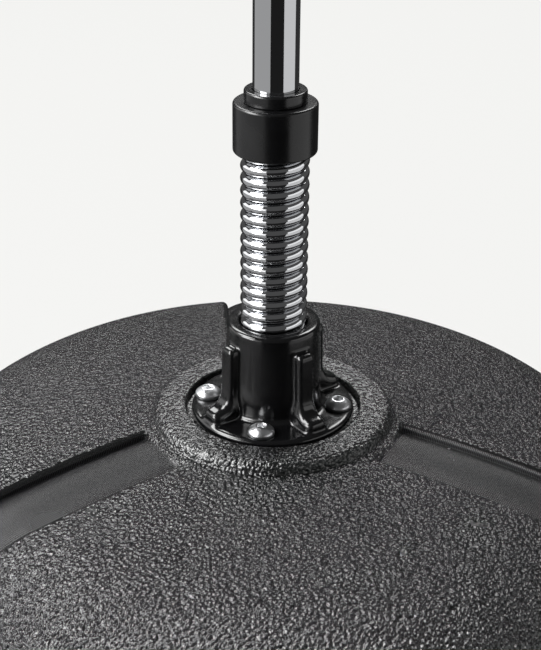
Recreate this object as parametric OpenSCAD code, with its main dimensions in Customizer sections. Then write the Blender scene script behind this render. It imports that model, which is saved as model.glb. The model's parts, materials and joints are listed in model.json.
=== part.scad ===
// Free-standing speed bag platform: a hollow ballast base, a bolted socket, a coil spring,
// and a telescopic pole with a threaded stud for the bag at its top.
// The origin is on the floor under the pole, +Z is up, and -Y is the front.

/* [Base shell] */
// Greatest diameter of the base
base_d = 472; // [440:1:560]
// Radius of the rounded shoulder
shoulder_r = 84; // [70:1:90]
// Radius of the rounded bottom edge
rim_r = 20; // [16:1:24]
// Slope of the crown where it meets the shoulder, in degrees
crown_slope_out = 9; // [7:0.5:12]
// Slope of the crown at the foot of the boss ring, in degrees
crown_slope_in = 2.5; // [1.5:0.5:4]
// Thickness of the moulded wall
wall = 4; // [3:0.5:5]

/* [Boss ring] */
// Width of the raised ring round the socket
boss_w = 19.8; // [14:0.1:26]
// Height of the ring above the crown
boss_h = 6.5; // [5:0.5:8]
// Width of the gap between the flange and the ring
flange_gap = 3.5; // [1:0.5:5]

/* [Channels] */
// Width of a ribbed channel
channel_w = 40; // [30:1:48]
// Depth of the crease along each side of a channel
crease_depth = 5; // [3:0.5:6]
// How far the strip's crest lies below the dome
strip_drop = 0.5; // [0.3:0.1:1]
// Direction of the rear channel, in degrees from +X
channel_turn = 94; // [90:1:98]
// Where a channel ends, in degrees above the widest part of the shoulder
channel_end = 8; // [4:1:20]

/* [Feet] */
// Diameter of a rubber foot
foot_d = 36; // [26:1:40]
// How far a foot stands below the shell
foot_h = 4; // [3:0.5:6]
// Depth of the pocket that holds a foot
foot_pocket = 2.5; // [2:0.5:3]
// From the edge of the base in to the middle of a foot
foot_inset = 46; // [44:1:66]

/* [Filler] */
// Tilt of the filler neck from vertical, in degrees
filler_tilt = 35; // [30:1:40]
// Bore of the filler neck
filler_bore_d = 28; // [22:1:32]
// Length of the neck above its seat
filler_neck_h = 14; // [12:1:18]

/* [Socket] */
// From the screw circle out to the edge of the flange
flange_edge = 8.9; // [8.3:0.1:14]
// Thickness of the socket flange
flange_t = 6.5; // [5:0.5:8]
// Height of the socket above the flange
socket_h = 54; // [48:1:64]
// Wall of the socket round the spring, at its rim
socket_wall = 7.45; // [6:0.05:10]
// Draft of the socket's outside, in degrees
socket_draft = 1.5; // [0:0.5:2]
// Height of the spring's seat above the flange
seat_h = 24; // [22:1:28]
// Height of a stiffening rib above the flange
rib_h = 44; // [36:1:46]
// Thickness of a stiffening rib
rib_w = 10.6; // [7:0.2:12]
// Height of a rib's foot
rib_foot_h = 6; // [4:0.5:7]

/* [Flange screws] */
// From the socket's rim out to the screw circle
screw_offset = 11.8; // [11.5:0.1:13]
// Thread diameter
screw_d = 8; // [6:1:8]
// Head diameter
screw_head_d = 15.2; // [13:0.2:15.4]
// Head height
screw_head_h = 6; // [4:0.5:7]
// Length under the head
screw_len = 22; // [18:1:26]
// Direction of the first screw, in degrees from +X
screw_turn = 80.6; // [76:0.2:90]

/* [Spring] */
// Outer diameter of the spring
spring_d = 38.3; // [37.5:0.1:38.5]
// Wire diameter
wire_d = 6.9; // [6:0.1:7.1]
// Free length of spring seen between socket and collar
spring_gap = 101.7; // [90:0.1:125]
// Gap between two turns of the coil
coil_gap = 0.36; // [0.3:0.01:0.7]

/* [Collar] */
// Wall of the collar round the spring
collar_wall = 3.65; // [2.5:0.05:6]
// Height of the coupling collar
collar_h = 28; // [26:1:34]
// Depth of the collar's pocket for the spring's top turns
collar_pocket = 17; // [16:0.5:18]
// Wall of the bush on top of the collar
bush_wall = 4.3; // [3:0.1:5]
// Height of the bush above the collar
bush_h = 7; // [5:0.5:10]

/* [Pole] */
// Outer diameter of the lower pole
pole_d = 25; // [24.6:0.1:25.4]
// Wall of both tubes
tube_wall = 1.5; // [1.2:0.1:2]
// Length of the lower pole
lower_len = 480; // [400:1:600]
// Gap between the upper pole and the bore of the lower one
pole_slack = 1.5; // [1.2:0.1:3]
// Length of the upper pole
upper_len = 600; // [480:1:640]
// Height of the upper pole's foot above the lower pole's foot, fully lowered
upper_foot = 130; // [90:1:150]

/* [Height clamp] */
// Wall of the clamp round the lower pole
clamp_wall = 7.4; // [6:0.1:9.4]
// Height of the clamp
clamp_h = 52; // [44:1:60]
// Diameter of the clamp knob
knob_d = 40; // [30:1:50]
// Thread diameter of the knob's screw
knob_screw_d = 8; // [6:1:8]

/* [Bag stud] */
// Thread diameter of the stud
stud_d = 10; // [8:1:12]
// Free length of the stud above its nut
stud_len = 28; // [20:1:40]

/* [Hidden] */
$fn = 96;

// Clearances: turning fits, parts of one body, and curved faces of different bodies
run_gap = 0.05;
seat_gap = 0.1;
free_gap = 0.4;

// How far a cutting shape reaches past the face it opens
past = 1;

// Socket and screws, from the spring outwards
spring_r = spring_d / 2;
spring_bore_r = spring_r + free_gap;
socket_r = spring_bore_r + socket_wall;
socket_foot_r = socket_r + socket_h * tan(socket_draft);
screw_circle_r = socket_r + screw_offset;
flange_r = screw_circle_r + flange_edge;
recess_r = flange_r + flange_gap;
boss_r = recess_r + boss_w;

// Base: the crown is one shallow arc, tangent to the shoulder's arc
base_r = base_d / 2;
parting_z = foot_h + rim_r;
shoulder_x = base_r - shoulder_r;
join_x = shoulder_x + shoulder_r * sin(crown_slope_out);
join_z = parting_z + shoulder_r * cos(crown_slope_out);
crown_r = (join_x - boss_r) / (sin(crown_slope_out) - sin(crown_slope_in));
crown_x = join_x - crown_r * sin(crown_slope_out);
crown_z = join_z - crown_r * cos(crown_slope_out);
boss_foot_z = crown_z + crown_r * cos(crown_slope_in);
boss_top_z = boss_foot_z + boss_h;
ring_fillet = boss_h - 0.5;

// Socket heights: the flange stands half a millimetre proud of the ring
flange_proud = 0.5;
flange_top_z = boss_top_z + flange_proud;
deck_z = flange_top_z - flange_t;
deck_t = 5;
socket_top_z = flange_top_z + socket_h;
seat_z = flange_top_z + seat_h;
socket_fillet = 3;
flange_round = 3;
edge_r = 1.5;

// Ribs: a leaning, chamfered upright, and a foot that stops short of the flange's edge
rib_reach = 5.5;
rib_lean = 1;
rib_chamfer = 3;
rib_hollow_r = 7;
rib_foot_gap = 4;
rib_nose = 1;
rib_root_r = socket_r - 4;

// Channels: their strip is a shallow arch between two creases
channel_inset = 5;
channel_start_r = boss_r + channel_inset;
arch_rise = crease_depth - strip_drop;
arch_r = (channel_w * channel_w / 4 + arch_rise * arch_rise) / (2 * arch_rise);
channel_count = 3;
channel_clear = 3;
backing_overlap = 5;

// Spring
wire_r = wire_d / 2;
helix_r = spring_r - wire_r;
coil_pitch = wire_d + coil_gap;
collar_z = socket_top_z + spring_gap;
collar_top_z = collar_z + collar_h;
stem_flange_t = 3;
stem_flange_z = collar_z + collar_pocket - stem_flange_t;
end_gap = 0.2;
helix_low_z = seat_z + wire_r + end_gap;
helix_high_z = stem_flange_z - wire_r - end_gap;
turns = (helix_high_z - helix_low_z) / coil_pitch;
turn_steps = 18;
wire_sides = 8;
plug_r = spring_r - wire_d - free_gap;

// Anchor bolt, an M12, under the lower plug
bolt_d = 12;
bolt_flats = 19;
bolt_head_h = 7.5;
washer_t = 2.5;
washer_r = 12;
bolt_web_t = 9;
counterbore_top_z = seat_z - bolt_web_t;
plug_h = 26;
bolt_end_z = seat_z + plug_h - 3;

// Pole
pole_r = pole_d / 2;
pole_bore_r = pole_r - tube_wall;
pole_foot_z = stem_flange_z + stem_flange_t;
pole_top_z = pole_foot_z + lower_len;
upper_r = pole_bore_r - pole_slack;
upper_bore_r = upper_r - tube_wall;
upper_foot_z = pole_foot_z + upper_foot;
upper_top_z = upper_foot_z + upper_len;
shoe_h = 34;
shoe_plug_h = 20;
stem_h = 46;

// Collar and bush
collar_r = spring_bore_r + collar_wall;
bush_bore_r = pole_r + free_gap;
bush_r = bush_bore_r + bush_wall;
bush_spigot_r = bush_r - 2;
bush_spigot_h = 4;
bush_low_round = 0.6;
bush_top_round = 1.2;
grub_d = 5;
grub_rise = 3.4;
grub_z = pole_foot_z + grub_rise;
grub_sunk = 1;
grub_key_h = 2.5;

// Height clamp at the top of the lower pole
clamp_r = pole_r + seat_gap + clamp_wall;
clamp_over = 30;
clamp_low_round = 2;
clamp_top_round = 4;
clamp_z = pole_top_z - clamp_over;
clamp_top_z = clamp_z + clamp_h;
clamp_shelf_t = 2;
liner_r = upper_r + 3;
liner_z = pole_top_z + clamp_shelf_t;
liner_flange_t = 2;
liner_flange_w = 2;
knob_rise = 1;
knob_z = pole_top_z + (clamp_h - clamp_over) / 2 + knob_rise;
boss_out_r = clamp_r + 8;
knob_boss_r = 8;
pad_r = 3.2;
pad_t = 3;
pad_tip_r = upper_r + run_gap;
knob_t = 16;
knob_neck_h = 3;
knob_cap_t = 4;
knob_face_r = boss_out_r + 1.5;
knob_screw_start = pad_tip_r + pad_t;
lobes = 7;
lobe_r = knob_d * 0.13;
lobe_inset = 1;

// Filler on the -X side of the shoulder
filler_neck_r = filler_bore_d / 2 + 4;
filler_seat_v = 2;
filler_seat_r = filler_neck_r + 8;
cap_r = filler_neck_r + 5;
cap_top_t = 3;
gasket_t = 2;
cap_low_v = filler_seat_v + 1.5;
neck_top_v = filler_seat_v + filler_neck_h;
filler_reach = 3 * wall;
cap_top_v = neck_top_v + gasket_t + cap_top_t;
grip_count = 24;
grip_r = 1.2;
grip_gap = 1.5;

// Feet and inserts
foot_circle_r = base_r - foot_inset;
foot_count = 6;
foot_turn = 4;
foot_round = 1.5;
insert_r = screw_d / 2 + 2;
insert_h = 18;
insert_wall = 4.5;
screw_count = 4;
key_share = 0.36;

// Bag stud
nut_flats = 1.7 * stud_d;
nut_h = 0.8 * stud_d;
stud_washer_t = 2;
plug_flange_t = 3;
stud_seat_z = upper_top_z + plug_flange_t;
stud_depth = 20;
stud_base_z = upper_top_z - stud_depth;
plug_floor_t = 4;
plug_flange_w = 1.5;
nut_top_z = stud_seat_z + stud_washer_t + nut_h;
stud_top_z = nut_top_z + stud_len;
stud_root_r = stud_d / 2 - 0.5;
stud_relief_h = 1;
stud_tip_h = 1;

// Places a child at an angle round the pole
module around(angle) {
    rotate([0, 0, angle]) children();
}

// A 2D fillet that fills an inner corner at the origin, towards +X and +Y
module corner_fill(r) {
    difference() {
        square(r);
        translate([r, r]) circle(r);
    }
}

// A tube standing on z = 0
module tube(r_out, r_in, h) {
    difference() {
        cylinder(r = r_out, h = h);
        translate([0, 0, -past]) cylinder(r = r_in, h = h + 2 * past);
    }
}

// A 2D half plane window, from x0 to x1 and z0 to z1
module window(x0, x1, z0, z1) {
    translate([x0, z0]) square([x1 - x0, z1 - z0]);
}

// Half section of the solid dome, shrunk all round by inset
module dome_2d(inset) {
    top = boss_foot_z + shoulder_r;
    intersection() {
        translate([crown_x, crown_z]) circle(crown_r - inset, $fn = 720);
        window(0, join_x - inset * sin(crown_slope_out), parting_z, top);
    }
    intersection() {
        translate([shoulder_x, parting_z]) circle(shoulder_r - inset, $fn = 180);
        window(join_x - inset * sin(crown_slope_out), base_r, parting_z, top);
    }
    intersection() {
        translate([base_r - rim_r, parting_z]) circle(rim_r - inset);
        window(base_r - rim_r, base_r, 0, parting_z);
    }
    window(0, base_r - rim_r, foot_h + inset, parting_z);
}

// Half section of the raised ring, with its rounded shoulder
module boss_ring_2d() {
    window(0, boss_r - ring_fillet, boss_foot_z - wall, boss_top_z);
    window(0, boss_r, boss_foot_z - wall, boss_top_z - ring_fillet);
    intersection() {
        translate([boss_r - ring_fillet, boss_top_z - ring_fillet]) circle(ring_fillet);
        window(boss_r - ring_fillet, boss_r, boss_top_z - ring_fillet, boss_top_z);
    }
}

// Sweeps a section along the shoulder, from an angle above its widest place up to a slope;
// the section's +X is outward and its Y runs across
module along_shoulder(start, end_slope) {
    translate([shoulder_x, 0, parting_z])
        rotate([90, 0, 0])
            rotate([0, 0, start])
                rotate_extrude(angle = 90 - end_slope - start)
                    translate([shoulder_r, 0]) children();
}

// Sweeps a section along the crown, from a channel's inner end to the shoulder
module along_crown() {
    start_slope = asin((channel_start_r - crown_x) / crown_r);
    translate([crown_x, 0, crown_z])
        rotate([90, 0, 0])
            rotate([0, 0, 90 - crown_slope_out])
                rotate_extrude(angle = crown_slope_out - start_slope)
                    translate([crown_r, 0]) children();
}

// Section of what a channel removes: the space over its arched strip
module channel_2d() {
    difference() {
        translate([-crease_depth - past, -channel_w / 2])
            square([crease_depth + past + channel_clear, channel_w]);
        translate([-strip_drop - arch_r, 0]) circle(arch_r, $fn = 180);
    }
}

// Keeps the wall whole under a channel: a swept block along the shoulder, a straight one on the crown
module channel_backing() {
    back_w = channel_w + 2 * wall;
    back_t = crease_depth + wall;
    start_x = channel_start_r - wall;
    mean_slope = (crown_slope_in + crown_slope_out) / 2;
    along_shoulder(channel_end - backing_overlap, crown_slope_out - 1)
        translate([-back_t, -back_w / 2]) square([back_t, back_w]);
    translate([join_x, 0, join_z])
        rotate([0, mean_slope, 0])
            translate([start_x - join_x, -back_w / 2, -back_t - past])
                cube([join_x - start_x, back_w, back_t + channel_clear]);
}

// Places a child on the filler's axis, with z = 0 at the shoulder's surface
module on_filler() {
    translate([-shoulder_x, 0, parting_z])
        rotate([0, -filler_tilt, 0])
            translate([0, 0, shoulder_r]) children();
}

// The hollow inside the shell
module base_hollow() {
    difference() {
        rotate_extrude($fn = 144)
            difference() {
                dome_2d(wall);
                window(-past, recess_r + wall, deck_z - deck_t, boss_top_z);
            }
        for (i = [0 : channel_count - 1])
            around(channel_turn + i * 360 / channel_count)
                channel_backing();
        for (i = [0 : screw_count - 1])
            around(screw_turn + i * 360 / screw_count)
                translate([screw_circle_r, 0, deck_z - insert_h - insert_wall])
                    cylinder(r = insert_r + insert_wall, h = insert_h + 2 * insert_wall);
        for (i = [0 : foot_count - 1])
            around(foot_turn + (i + 0.5) * 360 / foot_count)
                translate([foot_circle_r, 0, foot_h])
                    cylinder(r = foot_d / 2 + seat_gap + wall, h = foot_pocket + wall);
    }
}

module base_shell() {
    color([0.17, 0.17, 0.18])
    difference() {
        union() {
            difference() {
                rotate_extrude($fn = 144) {
                    dome_2d(0);
                    boss_ring_2d();
                }
                for (i = [0 : channel_count - 1])
                    around(channel_turn + i * 360 / channel_count) {
                        along_crown() channel_2d();
                        along_shoulder(channel_end, crown_slope_out) channel_2d();
                    }
            }
            on_filler()
                translate([0, 0, -wall]) cylinder(r = filler_seat_r, h = wall + filler_seat_v);
            on_filler()
                cylinder(r = filler_neck_r, h = neck_top_v);
        }
        base_hollow();
        translate([0, 0, deck_z]) cylinder(r = recess_r, h = boss_top_z);
        for (i = [0 : screw_count - 1])
            around(screw_turn + i * 360 / screw_count)
                translate([screw_circle_r, 0, deck_z - insert_h])
                    cylinder(r = insert_r, h = insert_h + past);
        for (i = [0 : foot_count - 1])
            around(foot_turn + (i + 0.5) * 360 / foot_count)
                translate([foot_circle_r, 0, foot_h - past])
                    cylinder(r = foot_d / 2 + seat_gap, h = foot_pocket + past);
        on_filler()
            translate([0, 0, -filler_reach])
                cylinder(r = filler_bore_d / 2, h = neck_top_v + filler_reach + past);
    }
}

// One rubber foot: a pad with a rounded lower edge, pressed into its pocket
module foot(number) {
    color([0.06, 0.06, 0.06])
    around(foot_turn + (number - 0.5) * 360 / foot_count)
        translate([foot_circle_r, 0, 0])
            rotate_extrude() {
                window(0, foot_d / 2 - foot_round, 0, foot_h + foot_pocket);
                window(0, foot_d / 2, foot_round, foot_h + foot_pocket);
                translate([foot_d / 2 - foot_round, foot_round]) circle(foot_round);
            }
}

// The cap: a disc and a skirt with upright grips
module filler_cap() {
    skirt_h = cap_top_v - cap_low_v;
    color([0.07, 0.07, 0.07])
    on_filler()
        translate([0, 0, cap_low_v])
            difference() {
                union() {
                    cylinder(r = cap_r, h = skirt_h);
                    for (i = [0 : grip_count - 1])
                        around(i * 360 / grip_count)
                            translate([cap_r, 0, 0]) cylinder(r = grip_r, h = skirt_h - grip_gap);
                }
                translate([0, 0, -past])
                    cylinder(r = filler_neck_r + free_gap, h = skirt_h - cap_top_t + past);
            }
}

module filler_gasket() {
    color([0.1, 0.1, 0.1])
    on_filler()
        translate([0, 0, neck_top_v]) tube(filler_neck_r, filler_bore_d / 2, gasket_t);
}

// Side view of a rib: an upright on the socket, a hollow curve and a low foot
module rib_2d() {
    stand_r = socket_foot_r + rib_reach;
    top_r = stand_r - rib_lean;
    foot_end_r = flange_r - rib_foot_gap;
    end_round = rib_foot_h - rib_nose;
    window(rib_root_r, stand_r, 0, rib_foot_h + rib_hollow_r);
    polygon([[rib_root_r, rib_foot_h], [stand_r, rib_foot_h], [top_r, rib_h - rib_chamfer],
             [top_r - rib_chamfer, rib_h], [rib_root_r, rib_h]]);
    window(rib_root_r, foot_end_r, 0, rib_nose);
    window(rib_root_r, foot_end_r - end_round, 0, rib_foot_h);
    translate([foot_end_r - end_round, rib_nose]) intersection() {
        circle(end_round);
        window(0, end_round, 0, end_round);
    }
    intersection() {
        translate([stand_r, rib_foot_h]) corner_fill(rib_hollow_r);
        window(stand_r, foot_end_r - end_round, 0, rib_h);
    }
}

// Half section of the flange and the socket's tapered wall, from its bottom up
module socket_2d() {
    top = flange_t + socket_h;
    window(0, flange_r - flange_round, 0, flange_t);
    window(0, flange_r, 0, flange_t - flange_round);
    translate([flange_r - flange_round, flange_t - flange_round]) circle(flange_round);
    polygon([[0, flange_t], [socket_foot_r, flange_t], [socket_r, top - edge_r],
             [socket_r - edge_r, top - edge_r], [socket_r - edge_r, top], [0, top]]);
    translate([socket_r - edge_r, top - edge_r]) circle(edge_r);
    translate([socket_foot_r - run_gap, flange_t]) corner_fill(socket_fillet);
}

module socket_flange() {
    color([0.03, 0.03, 0.03])
    translate([0, 0, deck_z])
        difference() {
            union() {
                rotate_extrude() socket_2d();
                for (i = [0 : screw_count - 1])
                    around(screw_turn + (i + 0.5) * 360 / screw_count)
                        translate([0, rib_w / 2, flange_t])
                            rotate([90, 0, 0]) linear_extrude(rib_w) rib_2d();
            }
            translate([0, 0, seat_z - deck_z])
                cylinder(r = spring_bore_r, h = socket_h);
            translate([0, 0, -past])
                cylinder(r = bolt_d / 2 + free_gap, h = seat_z - deck_z + 2 * past);
            translate([0, 0, -past])
                cylinder(r = washer_r + free_gap, h = counterbore_top_z - deck_z + past);
            for (i = [0 : screw_count - 1])
                around(screw_turn + i * 360 / screw_count)
                    translate([screw_circle_r, 0, -past])
                        cylinder(r = screw_d / 2 + free_gap, h = flange_t + 2 * past);
        }
}

// A domed screw with a hexagon socket, its seat at z = 0
module round_screw(d, head_d, head_h, len) {
    crown = head_h / 2;
    ball_r = (head_d * head_d / 4 + crown * crown) / (2 * crown);
    key_r = d * key_share;
    difference() {
        union() {
            translate([0, 0, -len]) cylinder(d = d, h = len);
            cylinder(d = head_d, h = crown);
            translate([0, 0, crown])
                intersection() {
                    translate([0, 0, crown - ball_r]) sphere(ball_r);
                    cylinder(d = head_d, h = crown);
                }
        }
        translate([0, 0, crown]) cylinder(r = key_r, h = head_h, $fn = 6);
    }
}

module flange_screws() {
    color([0.8, 0.8, 0.82])
    for (i = [0 : screw_count - 1])
        around(screw_turn + i * 360 / screw_count)
            translate([screw_circle_r, 0, flange_top_z])
                round_screw(screw_d, screw_head_d, screw_head_h, screw_len);
}

module threaded_inserts() {
    color([0.75, 0.6, 0.3])
    for (i = [0 : screw_count - 1])
        around(screw_turn + i * 360 / screw_count)
            translate([screw_circle_r, 0, deck_z - insert_h])
                tube(insert_r, screw_d / 2, insert_h);
}

module anchor_bolt() {
    head_r = bolt_flats / 2 / cos(30);
    shank_h = bolt_end_z - counterbore_top_z + washer_t;
    color([0.6, 0.6, 0.62])
    translate([0, 0, counterbore_top_z - washer_t]) {
        cylinder(d = bolt_d, h = shank_h);
        translate([0, 0, -bolt_head_h]) cylinder(r = head_r, h = bolt_head_h, $fn = 6);
    }
}

module anchor_washer() {
    color([0.65, 0.65, 0.67])
    translate([0, 0, counterbore_top_z - washer_t])
        tube(washer_r, bolt_d / 2 + seat_gap, washer_t);
}

// The plug that the lowest turns of the spring are wound on, tapped for the anchor bolt
module spring_plug_lower() {
    color([0.55, 0.55, 0.57])
    translate([0, 0, seat_z]) tube(plug_r, bolt_d / 2, plug_h);
}

// One ring of points round the wire, at a turn count t up the helix
function wire_ring(t) = [
    for (s = [0 : wire_sides - 1])
        let (a = 360 * s / wire_sides, r = helix_r + wire_r * cos(a))
            [r * cos(360 * t), r * sin(360 * t), helix_low_z + t * coil_pitch + wire_r * sin(a)]
];

// A right-hand coil with plain ends
module spring() {
    steps = ceil(turns * turn_steps);
    points = [for (i = [0 : steps]) each wire_ring(turns * i / steps)];
    sides = [
        for (i = [0 : steps - 1], s = [0 : wire_sides - 1])
            let (n = (s + 1) % wire_sides, low = i * wire_sides, high = low + wire_sides)
                each [[low + s, low + n, high + n], [low + s, high + n, high + s]]
    ];
    first = [[for (s = [wire_sides - 1 : -1 : 0]) s]];
    last = [[for (s = [0 : wire_sides - 1]) steps * wire_sides + s]];
    color([0.85, 0.85, 0.87])
        polyhedron(points, concat(sides, first, last));
}

// The stem: a plug in the spring's top turns, a flange over them and a spigot in the pole
module coupling_stem() {
    color([0.55, 0.55, 0.57])
    union() {
        translate([0, 0, collar_z + past]) cylinder(r = plug_r, h = stem_flange_z - collar_z);
        translate([0, 0, stem_flange_z]) cylinder(r = spring_r, h = stem_flange_t);
        translate([0, 0, pole_foot_z - past])
            cylinder(r = pole_bore_r - seat_gap, h = stem_h);
    }
}

// Half section of a ring with rounded outer edges: low edge r_low, high edge r_high
module ring_2d(r_out, r_in, h, r_low, r_high) {
    intersection() {
        union() {
            window(r_in, r_out - r_low, 0, h / 2);
            window(r_in, r_out - r_high, h / 2, h);
            window(r_in, r_out, r_low, h - r_high);
            translate([r_out - r_low, r_low]) circle(r_low);
            translate([r_out - r_high, h - r_high]) circle(r_high);
        }
        window(r_in, r_out, 0, h);
    }
}

module coupling_collar() {
    color([0.05, 0.05, 0.05])
    translate([0, 0, collar_z])
        difference() {
            rotate_extrude() ring_2d(collar_r, pole_r + seat_gap, collar_h, edge_r, edge_r);
            translate([0, 0, -past]) cylinder(r = spring_bore_r, h = collar_pocket + past);
            translate([0, 0, collar_h - bush_spigot_h - seat_gap])
                cylinder(r = bush_spigot_r + seat_gap, h = bush_spigot_h + past);
            for (side = [-1, 1])
                around(90 + 45 * side)
                    translate([pole_r - past, 0, grub_z - collar_z])
                        rotate([0, 90, 0]) cylinder(d = grub_d, h = collar_r);
        }
}

module collar_grub_screws() {
    color([0.3, 0.3, 0.32])
    for (side = [-1, 1])
        around(90 + 45 * side)
            translate([pole_r, 0, grub_z])
                rotate([0, 90, 0])
                    difference() {
                        cylinder(d = grub_d, h = collar_r - pole_r - grub_sunk);
                        translate([0, 0, collar_r - pole_r - grub_sunk - grub_key_h])
                            cylinder(d = grub_d / 2, h = grub_d, $fn = 6);
                    }
}

module pole_bush() {
    color([0.04, 0.04, 0.04])
    translate([0, 0, collar_top_z]) {
        rotate_extrude() ring_2d(bush_r, bush_bore_r, bush_h, bush_low_round, bush_top_round);
        translate([0, 0, -bush_spigot_h]) tube(bush_spigot_r, bush_bore_r, bush_spigot_h + past);
    }
}

module lower_pole() {
    color([0.8, 0.8, 0.82])
    translate([0, 0, pole_foot_z]) tube(pole_r, pole_bore_r, lower_len);
}

// The clamp grips the lower pole, and its knob boss points to +X
module height_clamp() {
    color([0.08, 0.08, 0.08])
    difference() {
        union() {
            translate([0, 0, clamp_z])
                rotate_extrude()
                    ring_2d(clamp_r, upper_r, clamp_h, clamp_low_round, clamp_top_round);
            translate([0, 0, knob_z]) rotate([0, 90, 0]) cylinder(r = knob_boss_r, h = boss_out_r);
        }
        translate([0, 0, clamp_z - past])
            cylinder(r = pole_r + seat_gap, h = clamp_over + past);
        translate([0, 0, pole_top_z - past])
            cylinder(r = upper_r + free_gap, h = clamp_h);
        translate([0, 0, liner_z]) cylinder(r = liner_r + seat_gap, h = clamp_h);
        translate([0, 0, knob_z])
            rotate([0, 90, 0]) cylinder(d = knob_screw_d + 2 * run_gap, h = boss_out_r + past);
    }
}

// A nylon liner guides the upper pole, with a window for the pad
module clamp_bush() {
    liner_h = clamp_top_z - liner_z;
    color([0.12, 0.12, 0.12])
    difference() {
        union() {
            translate([0, 0, liner_z]) tube(liner_r, upper_r + run_gap, liner_h);
            translate([0, 0, clamp_top_z])
                tube(liner_r + liner_flange_w, upper_r + run_gap, liner_flange_t);
        }
        translate([0, 0, knob_z])
            rotate([0, 90, 0]) cylinder(r = knob_screw_d / 2 + 2 * run_gap, h = clamp_r);
    }
}

module clamp_pad() {
    color([0.7, 0.58, 0.3])
    translate([pad_tip_r, 0, knob_z]) rotate([0, 90, 0]) cylinder(r = pad_r, h = pad_t);
}

// A lobed knob with a short neck towards the clamp
module clamp_knob() {
    lobe_h = knob_t - knob_neck_h - 2 * lobe_inset;
    color([0.06, 0.06, 0.06])
    translate([knob_face_r, 0, knob_z])
        rotate([0, 90, 0])
            difference() {
                union() {
                    cylinder(r = knob_boss_r, h = knob_t / 2);
                    translate([0, 0, knob_neck_h])
                        cylinder(r = knob_d / 2 - lobe_r, h = knob_t - knob_neck_h);
                    for (i = [0 : lobes - 1])
                        around((i + 0.5) * 360 / lobes)
                            translate([knob_d / 2 - lobe_r, 0, knob_neck_h + lobe_inset])
                                rotate([0, 0, 90]) cylinder(r = lobe_r, h = lobe_h);
                }
                translate([0, 0, -past]) cylinder(d = knob_screw_d, h = knob_t - knob_cap_t);
            }
}

module knob_screw() {
    color([0.65, 0.65, 0.67])
    translate([knob_screw_start, 0, knob_z])
        rotate([0, 90, 0])
            cylinder(d = knob_screw_d,
                     h = knob_face_r - knob_screw_start + knob_t - knob_cap_t - past);
}

module upper_pole() {
    color([0.82, 0.82, 0.84])
    translate([0, 0, upper_foot_z]) tube(upper_r, upper_bore_r, upper_len);
}

// A nylon shoe on the foot of the upper pole keeps it central in the lower one
module guide_bush() {
    color([0.85, 0.85, 0.8])
    union() {
        translate([0, 0, upper_foot_z - shoe_h])
            cylinder(r = pole_bore_r - run_gap, h = shoe_h);
        translate([0, 0, upper_foot_z - past])
            cylinder(r = upper_bore_r - seat_gap, h = shoe_plug_h + past);
    }
}

module top_plug() {
    color([0.06, 0.06, 0.06])
    difference() {
        union() {
            translate([0, 0, stud_base_z - plug_floor_t])
                cylinder(r = upper_bore_r - seat_gap,
                         h = upper_top_z - stud_base_z + plug_floor_t + past);
            translate([0, 0, upper_top_z])
                cylinder(r = upper_r + plug_flange_w, h = plug_flange_t);
        }
        translate([0, 0, stud_base_z]) cylinder(r = stud_root_r, h = upper_len);
    }
}

module stud_washer() {
    color([0.7, 0.7, 0.72])
    translate([0, 0, stud_seat_z]) tube(stud_d, stud_d / 2 + seat_gap, stud_washer_t);
}

module stud_nut() {
    color([0.7, 0.7, 0.72])
    translate([0, 0, stud_seat_z + stud_washer_t])
        difference() {
            cylinder(r = nut_flats / 2 / cos(30), h = nut_h, $fn = 6);
            translate([0, 0, -past]) cylinder(r = stud_root_r, h = nut_h + 2 * past);
        }
}

// The stud's thread is full above the nut, and at mid depth in the nut and the plug
module bag_stud() {
    thread_z = nut_top_z + stud_relief_h;
    tip_z = stud_top_z - stud_tip_h;
    color([0.75, 0.75, 0.77])
    union() {
        translate([0, 0, stud_base_z]) cylinder(r = stud_root_r, h = thread_z - stud_base_z);
        translate([0, 0, thread_z]) cylinder(d = stud_d, h = tip_z - thread_z);
        translate([0, 0, tip_z]) cylinder(d1 = stud_d, d2 = stud_d - 2 * stud_tip_h, h = stud_tip_h);
    }
}

base_shell();
foot(1);  // foot_1
foot(2);  // foot_2
foot(3);  // foot_3
foot(4);  // foot_4
foot(5);  // foot_5
foot(6);  // foot_6
filler_cap();
filler_gasket();
socket_flange();
flange_screws();
threaded_inserts();
anchor_bolt();
anchor_washer();
spring_plug_lower();
spring();
coupling_stem();
coupling_collar();
collar_grub_screws();
pole_bush();
lower_pole();
height_clamp();
clamp_bush();
clamp_pad();
clamp_knob();
knob_screw();
upper_pole();
guide_bush();
top_plug();
stud_washer();
stud_nut();
bag_stud();
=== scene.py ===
"""Looks for a free-standing speed bag stand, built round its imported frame.

Every size is in metres and every place is in the frame's own axes: +Z up, -Y the front.
"""
import json
import math

import bpy
import numpy as np
from bpy.props import FloatProperty, FloatVectorProperty, IntProperty, PointerProperty, StringProperty
from mathutils import Matrix, Vector


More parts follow.
